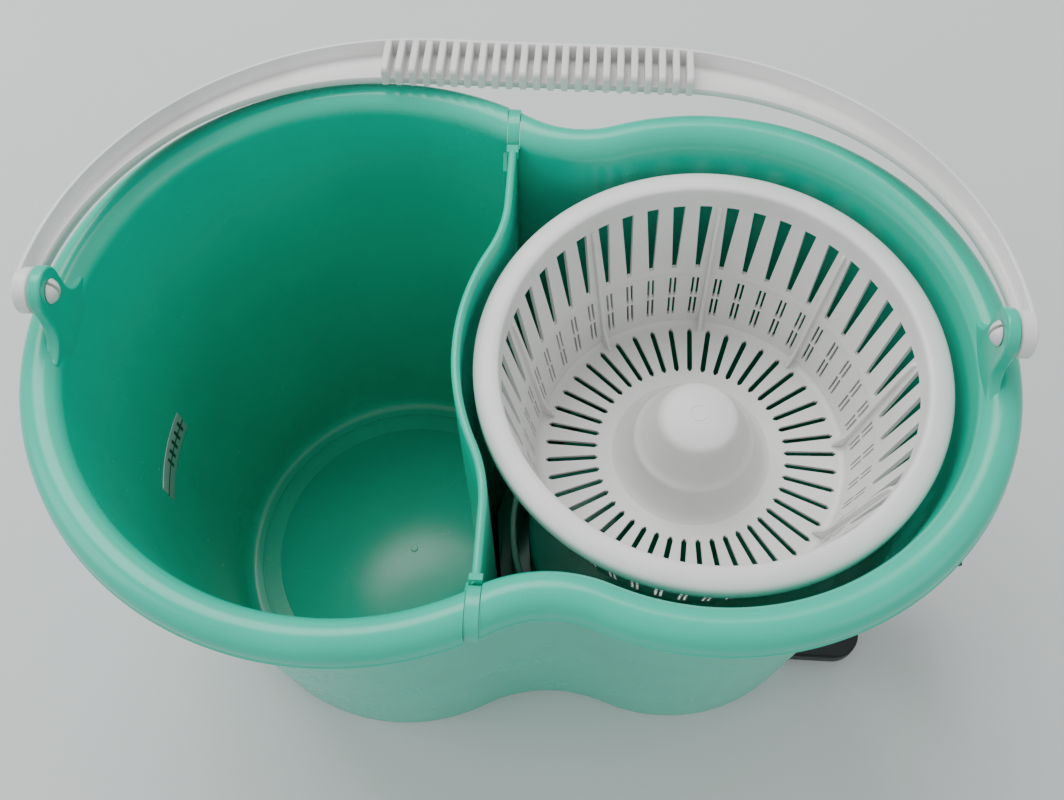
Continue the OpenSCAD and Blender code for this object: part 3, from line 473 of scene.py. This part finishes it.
bm = bmesh.new()
levels = [(7.1, 0.7), (7.9, 0.1), (9.5, 0), (15.5, 0), (26, 0), (60, 0), (100, 0), (140, 0), (180, 0), (220, 0),
          (260, 0), (divider_top - 2, 0), (divider_top - 0.8, 0.35), (divider_top - 0.2, 1.1), (divider_top, 1.7)]
skin(bm, [divider_points(z, -1, thin) + divider_points(z, 1, thin)[::-1] for z, thin in levels], caps=True)
divider = piece_from(bm, "divider_wall", mint, "divider", 50)
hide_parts("divider")

strap = notch_half - 0.35
strap_in = math.sqrt((wash_r - rim_w) ** 2 - (divider_x - wash_x) ** 2)
strap_mid, strap_reach = (strap_y + strap_in) / 2, (strap_y - strap_in) / 2


def strap_arc(g, start, end, steps=26):
    turn_by = [math.radians(start + (end - start) * i / steps) for i in range(steps + 1)]
    return [(strap_mid + (strap_reach + g) * math.cos(a), rim_mid + (rim_half + g) * math.sin(a)) for a in turn_by]


strap_outline = ([(strap_mid + strap_reach + 0.5, lip_z)] + strap_arc(0.5, 0, 180)
                 + [(strap_mid - strap_reach - 2, divider_top + 1.2), (strap_mid - strap_reach - 5.5, divider_top - 0.4),
                    (strap_mid - strap_reach - 6.5, divider_top - 5), (strap_mid - strap_reach + 2.4, divider_top - 5)]
                 + strap_arc(-2.4, 180, 0) + [(strap_mid + strap_reach - 2.4, lip_z)])
bm = bmesh.new()
for s in (-1, 1):
    bar(bm, [(s * y, z) for y, z in strap_outline], divider_x - strap, divider_x + strap, upright)
soften(piece_from(bm, "divider_straps", mint, "divider"), 0.7, 3, 35)


# ---------------------------------------------------------------- bail
# A white polypropylene handle in one moulding. Its section is a flange outside, a thin web and a
# bead inside, with a row of ribs over the web for the grip, and a split pin snaps into each ear.
white = moulded("white_plastic", (0.78, 0.77, 0.755), (0.70, 0.69, 0.675), 0.34, 0.45, 0.012, 0.1)
fold, bail_x, bail_reach, bail_in_x, bail_in_r, bail_half = math.radians(96), 58, 176, 75, 153, 10.5
lean_back = math.pi / 2 - fold


def on_bail(x, s, n):
    return (x, s * math.cos(lean_back) - n * math.sin(lean_back),
            pin_z + s * math.sin(lean_back) + n * math.cos(lean_back))


side_steps, middle_steps = 44, 30
path = []
for i in range(side_steps + 1):
    a = math.radians(90 * i / side_steps)
    path.append(((bail_x + bail_reach * math.cos(a), bail_reach * math.sin(a)),
                 (bail_in_x + bail_in_r * math.cos(a), bail_in_r * math.sin(a))))
for i in range(1, middle_steps):
    share = 1 - 2 * i / middle_steps
    path.append(((bail_x * share, bail_reach), (bail_in_x * share, bail_in_r)))
path += [((-a[0], a[1]), (-b[0], b[1])) for a, b in reversed(path[:side_steps + 1])]
section = [(-2.5, 10.0), (-2.1, 10.4), (-0.5, 10.4), (0, 9.9), (0, -9.9), (-0.5, -10.4), (-2.1, -10.4),
           (-2.5, -10.0), (-2.5, -1.9), (-3.2, -1.3)]
inner_section = [(2.7, -1.3), (2.0, -1.8), (0.5, -2.0), (0, -1.5), (0, 1.5), (0.5, 2.0), (2.0, 1.8), (2.7, 1.3)]
bm = bmesh.new()
rings = []
for (ox, os), (ix, is_) in path:
    way = Vector((ox - ix, os - is_)).normalized()
    ring = [on_bail(ox + way.x * t, os + way.y * t, n) for t, n in section]
    ring += [on_bail(ix + way.x * t, is_ + way.y * t, n) for t, n in inner_section]
    ring += [on_bail(ox + way.x * t, os + way.y * t, n) for t, n in ((-3.2, 1.3), (-2.5, 1.9))]
    rings.append(ring)
skin(bm, rings, caps=True)
bail = piece_from(bm, "bail_bow", white, "bail", 50)
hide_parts("bail")

# Grip ribs
bm = bmesh.new()
rib_outline = ([(bail_in_r - 2.9, -1), (bail_reach - 1, -1), (bail_reach - 1, 9.6), (bail_reach - 1.6, 10.4)]
               + arc(bail_in_r, 7.5, 3.0, 90, 180, 10))
for i in range(23):
    x = -81 + i * 162 / 22
    bar(bm, rib_outline, x - 1.9, x + 1.9, lambda s, n, x: on_bail(x, s, n))
grip = soften(piece_from(bm, "bail_grip_ribs", white, "bail"), 1.1, 4, 40)

# Bosses at the ends, and the split pins that turn in the ears
pin_r = 4.93
face_x = ear_x + ear_t / 2 + 0.5
bm = bmesh.new()
for s in (-1, 1):
    rim = [(0, face_x), (10.2, face_x), (11, face_x + 0.8), (11, 233.2), (10.3, 233.9), (9.2, 234), (7.5, 233.4), (0, 233.4)]
    rings = [[on_bail(s * x, r * math.cos(a), r * math.sin(a)) for r, x in rim]
             for a in (math.tau * i / 48 for i in range(48))]
    skin(bm, rings, closed_ring=False, closed_path=True)
bmesh.ops.remove_doubles(bm, verts=bm.verts, dist=0.001)
piece_from(bm, "bail_bosses", white, "bail")
tip = ear_x - ear_t / 2 - 0.3
for name, s in (("left", -1), ("right", 1)):
    bm = bmesh.new()
    head = ([(0, tip - 4.0), (1.6, tip - 3.8), (3.2, tip - 3.2), (4.6, tip - 2.2), (5.6, tip - 0.9), (6.0, tip - 0.3),
             (6.0, tip), (pin_r, tip), (pin_r, face_x + 1.4), (0, face_x + 1.4)])
    rings = [[on_bail(s * x, r * math.cos(a), r * math.sin(a)) for r, x in head]
             for a in (math.tau * i / 48 for i in range(48))]
    skin(bm, rings, closed_ring=False, closed_path=True)
    bmesh.ops.remove_doubles(bm, verts=bm.verts, dist=0.001)
    pin = piece_from(bm, name + "_bail_pin", white, "bail")
    lo, hi = sorted((s * (tip - 6), s * (tip + 5)))
    cut(pin, [(-0.9, -7), (0.9, -7), (0.9, 7), (-0.9, 7)], lo, hi, lambda a, b, c: on_bail(c, a, b))
    soften(pin, 0.35, 2, 40)


# ---------------------------------------------------------------- label
# A strip of metallised film stuck to the wash chamber's wall at the highest water level, with a
# plain level line and short marks printed on it.
def printed_film():
    made = Finish("film", IOR=1.5, Metallic=0.35, Coat_Weight=0.4, Coat_Roughness=0.15)
    where = made.node("ShaderNodeSeparateXYZ", (), {0: made.place()}, 2)
    height = where * 1000
    side = made.node("ShaderNodeSeparateXYZ", (), {0: made.place()}, 1) * 1000
    line = made.limits(height, 154.2, 154.4) - made.limits(height, 155.8, 156.0)
    turns = made.node("ShaderNodeMath", {"operation": "SINE"}, {0: side * 1.05})
    marks = made.limits(turns, 0.35, 0.5) * (made.limits(height, 150.0, 150.3) - made.limits(height, 160.0, 160.3))
    inside = (made.limits(side, mid_y * 1000 - 14, mid_y * 1000 - 13.8)
              - made.limits(side, mid_y * 1000 + 16, mid_y * 1000 + 16.2))
    ink = made.node("ShaderNodeMath", {"operation": "MAXIMUM", "use_clamp": True}, {0: line, 1: marks * inside})
    silver = made.between((0.50, 0.52, 0.51), (0.62, 0.64, 0.63), made.noise(4, detail=4))
    made.feed("Base Color", made.node("ShaderNodeMix", {"data_type": "RGBA"},
        {0: ink, 6: silver, 7: (0.03, 0.035, 0.035, 1)}, 2))
    made.feed("Roughness", made.noise(3, detail=4) * 0.12 + 0.28)
    made.bump(made.noise(1.2, detail=3), 0.02)
    return made.material


label_z, label_h = 146, 18
bm = bmesh.new()
rings = []
for i in range(41):
    a = math.radians(171.3 + 22.2 * i / 40)
    lift = 0.42 if 0 < i < 40 else 0.2
    rings.append([(wash_x + (wash_r + in_u(z) - d) * math.cos(a), (wash_r + in_u(z) - d) * math.sin(a), z)
                  for z, d in ((label_z, 0.05), (label_z, lift - 0.1), (label_z + 0.3, lift), (label_z + label_h / 2, lift),
                               (label_z + label_h - 0.3, lift), (label_z + label_h, lift - 0.1), (label_z + label_h, 0.05))])
skin(bm, rings, caps=True)
label = piece_from(bm, "fill_level_film", printed_film(), "bucket")
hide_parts("fill_level_label")


# ---------------------------------------------------------------- spin basket
# A white basket in one moulding that spins the mop dry. Its thin wall is cut by nine groups of
# upright slots with a rib between each two, its floor by radial slots, and its middle rises into
# the hub that the mop's plate sits over. It lifts off the spindle for cleaning.
flange_r, flange_z, basket_r, basket_floor_r, basket_z, basket_wall = 117.1, 285.8, 103.6, 86, 184.6, 2.2
wall_top = flange_z - 9.8
pair_low, pair_high, tall_low = basket_z + 7.4, basket_z + 37.4, basket_z + 44.9
slot_start, slot_pitch = 90.3, 8.0


def basket_in(z):
    return basket_floor_r + (basket_r - basket_floor_r) * (z - basket_z) / (wall_top - basket_z)


def wall_line(z):
    """The wall's inner face, with the step that runs round between the two rows of slots."""
    step = min(max((z - pair_high - 2) / 3, 0), 1) * min(max((tall_low - 2 - z) / 3, 0), 1)
    return basket_in(z) - 0.8 * step


# Upright rows of the wall. A slot takes the cells between two angles and two rows.
bridge_low, bridge_high = (pair_low + pair_high) / 2 - 0.8, (pair_low + pair_high) / 2 + 0.8
heights = ([basket_z + 2, pair_low, pair_low + 0.5, 199, bridge_low, bridge_high, 215, pair_high - 0.5, pair_high,
            pair_high + 2.2, pair_high + 3.6, tall_low - 3.2, tall_low - 1.6, tall_low, tall_low + 0.6, 238, 247, 256, 265, 271,
            wall_top - 1.2, wall_top - 0.7])
pair_in, pair_out, tall_foot, tall_w = 0.65, 2.05, 1.3, 3.4


def column_angles(z):
    """Eight-degree groups of upright lines: the sides of the pair of slots below, of the wedge above."""
    reach = basket_in(z)
    up = min(max((z - tall_low) / (wall_top - 0.7 - tall_low), 0), 1)
    wedge = tall_foot + (tall_w - tall_foot) * up
    share = min(max((z - pair_high - 1) / (tall_low - pair_high - 2), 0), 1)
    inner = math.degrees((pair_in * (1 - share) + wedge * 0.4 * share) / reach)
    outer = math.degrees((pair_out * (1 - share) + wedge * share) / reach)
    half = slot_pitch / 2
    return [-half, -(half + outer) / 2, -outer, -(outer + inner) / 2, -inner, 0, inner, (outer + inner) / 2, outer, (half + outer) / 2]


def wall_cell(r, c):
    low, high, k = heights[r], heights[r + 1], c % 10
    if low >= pair_low and high <= pair_high and low != bridge_low:
        return k not in (2, 3, 6, 7)
    if low >= tall_low and high <= wall_top - 0.7:
        return k not in (2, 3, 4, 5, 6, 7)
    return True


def thick_shell(bm, columns, rows_in, rows_out, keep):
    """A wall between an inner and an outer face with holes right through it."""
    wide, tall = len(columns[0]), len(rows_in)
    inner, outer = ([[bm.verts.new((axis_x + r * math.cos(a), r * math.sin(a), z)) for a in line]
                     for line, (r, z) in zip(columns, rows)] for rows in (rows_in, rows_out))
    there = lambda r, c: 0 <= r < tall - 1 and keep(r, c % wide)
    for r in range(tall - 1):
        for c in range(wide):
            d = (c + 1) % wide
            if not there(r, c):
                continue
            bm.faces.new((inner[r][c], inner[r + 1][c], inner[r + 1][d], inner[r][d]))
            bm.faces.new((outer[r][c], outer[r][d], outer[r + 1][d], outer[r + 1][c]))
            if not there(r, c - 1):
                bm.faces.new((inner[r][c], outer[r][c], outer[r + 1][c], inner[r + 1][c]))
            if not there(r, c + 1):
                bm.faces.new((inner[r][d], inner[r + 1][d], outer[r + 1][d], outer[r][d]))
            if not there(r - 1, c):
                bm.faces.new((inner[r][c], inner[r][d], outer[r][d], outer[r][c]))
            if not there(r + 1, c):
                bm.faces.new((inner[r + 1][c], outer[r + 1][c], outer[r + 1][d], inner[r + 1][d]))


columns = [[math.radians(slot_start + slot_pitch * i + o) for i in range(45) for o in column_angles(z)] for z in heights]


def outer_line(z):
    return basket_in(z) + basket_wall


bm = bmesh.new()
thick_shell(bm, columns, [(wall_line(z), z) for z in heights], [(outer_line(z), z) for z in heights], wall_cell)
wall_piece = piece_from(bm, "basket_wall", white, "basket", 40)
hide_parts("spin_basket")

# Flange over the top of the wall, rolled down at its edge
bm = bmesh.new()
turned(bm, axis_x, 0, [(wall_line(wall_top - 0.9), wall_top - 0.9), (basket_r, wall_top), (basket_r + 0.3, flange_z - 4),
    (basket_r + 0.7, flange_z + 0.4), (basket_r + 1.1, flange_z + 1.5), (basket_r + 2.0, flange_z + 2.1), (basket_r + 4, flange_z + 2.35),
    (basket_r + 7.5, flange_z + 2.4), (flange_r - 4, flange_z + 2.1), (flange_r - 1.8, flange_z + 1.4),
    (flange_r - 0.5, flange_z + 0.4), (flange_r, flange_z - 0.8), (flange_r, flange_z - 6.5), (flange_r - 0.4, flange_z - 7),
    (flange_r - 1.8, flange_z - 7), (flange_r - 2.2, flange_z - 6.5), (flange_r - 2.2, flange_z - 2), (flange_r - 3.4, flange_z - 0.8),
    (basket_r + 6, flange_z), (basket_r + 3.6, flange_z - 2), (basket_r + 2.3, wall_top), (outer_line(wall_top - 0.9), wall_top - 0.9)],
    steps=180)
piece_from(bm, "basket_flange", white, "basket", 50)

# Floor with radial slots of one width, and the turn up into the wall
floor_radii = [44.0, 48, 52.5, 53.6, 60, 68, 76, 80.5, 81.6, 83.2, basket_floor_r - 1.4, basket_floor_r - 0.4, basket_floor_r + 0.3]
floor_rise = [0, 0, 0, 0, 0, 0, 0, 0, 0, 0, 0.25, 1.0, 2.05]


def floor_cell(r, c):
    if not (2 <= r <= 7):
        return True
    return c % 8 not in ((3, 4) if r in (2, 7) else (2, 3, 4, 5))


def floor_ring(radius, z):
    """Slots are 3 mm wide at every radius, so the angles of their sides change along the floor."""
    ring = []
    for i in range(45):
        middle = math.radians(slot_start + slot_pitch * i)
        half = math.asin(1.5 / radius)
        for o in (-math.radians(4), -(half + math.radians(4)) / 2, -half, -half * 0.55, 0, half * 0.55, half, (half + math.radians(4)) / 2):
            ring.append((axis_x + radius * math.cos(middle + o), radius * math.sin(middle + o), z))
    return ring


def thick_floor(bm, tops, bottoms, keep):
    upper = [[bm.verts.new(p) for p in ring] for ring in tops]
    lower = [[bm.verts.new(p) for p in ring] for ring in bottoms]
    rows, wide = len(tops), len(tops[0])
    there = lambda r, c: 0 <= r < rows - 1 and keep(r, c % wide)
    for r in range(rows - 1):
        for c in range(wide):
            d = (c + 1) % wide
            if not there(r, c):
                continue
            bm.faces.new((upper[r][c], upper[r + 1][c], upper[r + 1][d], upper[r][d]))
            bm.faces.new((lower[r][c], lower[r][d], lower[r + 1][d], lower[r + 1][c]))
            for out, (p, q) in (((r, c - 1), ((r, c), (r + 1, c))), ((r, c + 1), ((r, d), (r + 1, d))),
                                ((r - 1, c), ((r, c), (r, d))), ((r + 1, c), ((r + 1, c), (r + 1, d)))):
                if not there(*out):
                    bm.faces.new((upper[p[0]][p[1]], upper[q[0]][q[1]], lower[q[0]][q[1]], lower[p[0]][p[1]]))


bm = bmesh.new()
thick_floor(bm, [floor_ring(r, basket_z + dz) for r, dz in zip(floor_radii, floor_rise)],
            [floor_ring(r + (1.2 if dz else 0), basket_z - 2.2 + dz * 1.3) for r, dz in zip(floor_radii, floor_rise)], floor_cell)
piece_from(bm, "basket_floor", white, "basket", 40)

# Hub: a wide shoulder, a waist and a domed cap with the gate's mark in its middle
low = basket_z - basket_wall
hub_r = 33.5
bm = bmesh.new()
turned(bm, axis_x, 0, [(44.2, basket_z), (42, basket_z + 0.9), (40, basket_z + 2.7), (38.5, basket_z + 5), (36.6, basket_z + 8.5),
    (35.1, basket_z + 12), (34.2, basket_z + 16), (33.6, basket_z + 18.4), (33.0, basket_z + 20.0), (31.9, basket_z + 21.0),
    (30.6, basket_z + 22.2), (29.2, basket_z + 24.4), (27.8, basket_z + 27.2), (26.4, basket_z + 30), (24.4, basket_z + 35),
    (22.8, basket_z + 39.4), (22.0, basket_z + 41.5), (20.9, basket_z + 43.6), (19.2, basket_z + 44.9), (17, basket_z + 45.7),
    (13, basket_z + 46.4), (9, basket_z + 47), (5.2, basket_z + 47.2), (5.0, basket_z + 46.9), (4.2, basket_z + 46.9),
    (4.0, basket_z + 47.3), (0, basket_z + 47.4), (0, basket_z + 44.4), (16, basket_z + 44.4), (19.5, basket_z + 42),
    (24, basket_z + 30), (31.5, low + 18.5), (36.2, low + 5), (43.5, low), (44.2, low)], steps=96)
bmesh.ops.remove_doubles(bm, verts=bm.verts, dist=0.001)
piece_from(bm, "basket_hub", white, "basket", 42)

# Nine ribs up the inside of the wall
bm = bmesh.new()
for i in range(9):
    a = math.radians(slot_start - slot_pitch / 2 + 40 * i)
    rib = [(basket_floor_r - 7, basket_z - 0.4), (basket_floor_r + 0.4, basket_z + 1), (basket_r + 0.6, wall_top - 1.5),
           (basket_r - 1.0, wall_top - 0.6), (basket_r - 2.4, wall_top - 2.4)]
    rib += [(basket_in(z) - 2.6 - (z < 200) * 0.7, z) for z in (262, 240, 220, 200)] + [(basket_in(196) - 3.9, 194), (basket_floor_r - 5, 189)]
    bar(bm, rib, -1.1, 1.1, lambda r, z, side: (axis_x + r * math.cos(a) - side * math.sin(a),
                                                r * math.sin(a) + side * math.cos(a), z))
soften(piece_from(bm, "basket_ribs", white, "basket"), 0.45, 3, 35)


# ---------------------------------------------------------------- pedal spring
# The compression spring that lifts the pedal: bright spring wire wound in six turns, with its
# end turns closed and flat on the base plate's seat and the lever's pad.
def ground_steel(name, light, dark, rough):
    made = Finish(name, Metallic=1.0, Coat_Weight=0.05)
    lines = made.noise(5, made.stretched((1, 1, 30)), 4)
    made.feed("Base Color", made.between(dark, light, made.noise(12, detail=3)))
    made.feed("Roughness", lines * 0.16 + made.noise(30) * 0.08 + (rough - 0.1))
    made.bump(lines, 0.006)
    return made.material


steel = ground_steel("steel", (0.62, 0.62, 0.63), (0.5, 0.5, 0.51), 0.28)
low_corner, high_corner = (here(corner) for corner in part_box("pedal_spring"))
spring_x = (low_corner.x + high_corner.x) / 2
spring_low, spring_high = low_corner.z + 0.95, high_corner.z - 0.95
bm = bmesh.new()
rings = []
turns, per_turn = 7.0, 28
for i in range(int(turns * per_turn) + 1):
    t = i / per_turn
    share = min(max((t - 0.75) / (turns - 1.5), 0), 1)
    z = spring_low + 1.0 * min(t, 0.75) + 1.0 * max(t - turns + 0.75, 0) + (spring_high - spring_low - 1.5) * share
    a = math.tau * t
    out = Vector((math.cos(a), math.sin(a), 0))
    rings.append([(Vector((spring_x, 0, z)) + out * (7 + 0.9 * math.cos(b)) + Vector((0, 0, 0.9 * math.sin(b))))
                  for b in (math.tau * k / 12 for k in range(12))])
skin(bm, rings, caps=True)
spring = piece_from(bm, "return_spring", steel, "bucket")
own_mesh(spring)
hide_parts("pedal_spring")


# ---------------------------------------------------------------- base, pedal and drive
# Black glass-filled plastic for the base plate and pedal, a ribbed tread pressed on the pedal,
# rubber feet, natural acetal gears, a steel spindle and pins, and sintered bronze bushes.
def dress(material, *nodes, soft=0.0):
    for name in nodes:
        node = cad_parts[name]
        node.data.materials.clear()
        node.data.materials.append(material)
        if soft:
            soften(node, soft, 3, 30)
        else:
            smooth = node.modifiers.new("flat faces", "WEIGHTED_NORMAL")
            smooth.keep_sharp = True


def rubber_compound():
    made = Finish("rubber", Sheen_Weight=0.15, IOR=1.52)
    grain = made.noise(0.7, detail=4)
    dust = made.limits(made.noise(9, detail=5), 0.5, 0.75)
    made.feed("Base Color", made.between((0.018, 0.018, 0.018), (0.055, 0.054, 0.051), dust))
    made.feed("Roughness", grain * 0.15 + dust * 0.1 + 0.68)
    made.bump(grain, 0.05)
    return made.material


def sintered_bronze():
    made = Finish("bronze", Metallic=1.0)
    pores = made.limits(made.noise(0.5, detail=4), 0.5, 0.62)
    made.feed("Base Color", made.between((0.33, 0.2, 0.09), (0.52, 0.34, 0.16), pores))
    made.feed("Roughness", 0.62 - pores * 0.2)
    made.bump(pores, 0.02)
    return made.material


black = moulded("black_plastic", (0.022, 0.022, 0.024), (0.014, 0.014, 0.015), 0.46, 0.55, 0.05, 0.16)
grey = moulded("grey_plastic", (0.12, 0.125, 0.13), (0.085, 0.09, 0.095), 0.5, 0.7, 0.04, 0.14)
acetal = moulded("natural_acetal", (0.80, 0.78, 0.71), (0.72, 0.70, 0.63), 0.36, 0.5, 0.01, 0.08)
orange = moulded("clutch_plastic", (0.72, 0.26, 0.05), (0.6, 0.2, 0.035), 0.42, 0.5, 0.015, 0.1)
dress(black, "pedal_lever", "base_plate", "splash_seal", soft=0.5)
dress(grey, "gearbox_frame", "drive_socket")
dress(acetal, "clutch_cup", "crown_gear", "cross_pinion", "thrust_washer")
dress(orange, "ratchet_hub")
dress(steel, "spindle", "spindle_head", "driver_stud", "cross_shaft", "shaft_clips", "pedal_pin", "frame_screws", "base_screws")
dress(sintered_bronze(), "upper_bush", "lower_bush")
rubber = rubber_compound()
dress(rubber, "rubber_feet", "pedal_tread", soft=0.4)


# ---------------------------------------------------------------- floor and light
# A plain pale table with a sheet of paper's faint tooth, a big soft light overhead and a pale
# room all round.
def pale_paper():
    made = Finish("pale_paper")
    tooth = made.noise(1.5, detail=4)
    made.feed("Base Color", made.between((0.60, 0.61, 0.61), (0.66, 0.67, 0.67), made.noise(260, detail=2)))
    made.feed("Roughness", tooth * 0.1 + 0.72)
    made.bump(tooth, 0.04)
    return made.material


bm = bmesh.new()
side = 26
grid = [[bm.verts.new((-6 + 12 * i / side, -6 + 12 * j / side, 0)) for j in range(side + 1)] for i in range(side + 1)]
for i in range(side):
    for j in range(side):
        bm.faces.new((grid[i][j], grid[i + 1][j], grid[i + 1][j + 1], grid[i][j + 1]))
mesh = bpy.data.meshes.new("table_top")
bm.to_mesh(mesh)
bm.free()
mesh.materials.append(pale_paper())
table_top = bpy.data.objects.new("table_top", mesh)
bpy.context.scene.collection.objects.link(table_top)


def soft_light(name, size, power, where, towards):
    lamp = bpy.data.lights.new(name, "AREA")
    lamp.shape, lamp.size, lamp.size_y, lamp.energy = "RECTANGLE", size[0], size[1], power
    made = bpy.data.objects.new(name, lamp)
    made.matrix_world = Matrix.Translation(where) @ (Vector(where) - Vector(towards)).to_track_quat("Z", "Y").to_matrix().to_4x4()
    bpy.context.scene.collection.objects.link(made)


soft_light("overhead", (1.6, 1.1), 33, (-0.5, 0.9, 1.9), (0, 0, 0.2))
soft_light("window", (1.2, 1.6), 13, (-1.9, -0.4, 1.4), (0, 0, 0.2))
soft_light("fill", (1.4, 1.0), 5, (1.7, -1.0, 1.2), (0, 0, 0.2))
room = bpy.data.worlds.new("room")
room.use_nodes = True
room.node_tree.nodes["Background"].inputs["Color"].default_value = (0.86, 0.89, 0.90, 1)
room.node_tree.nodes["Background"].inputs["Strength"].default_value = 0.85
bpy.context.scene.world = room
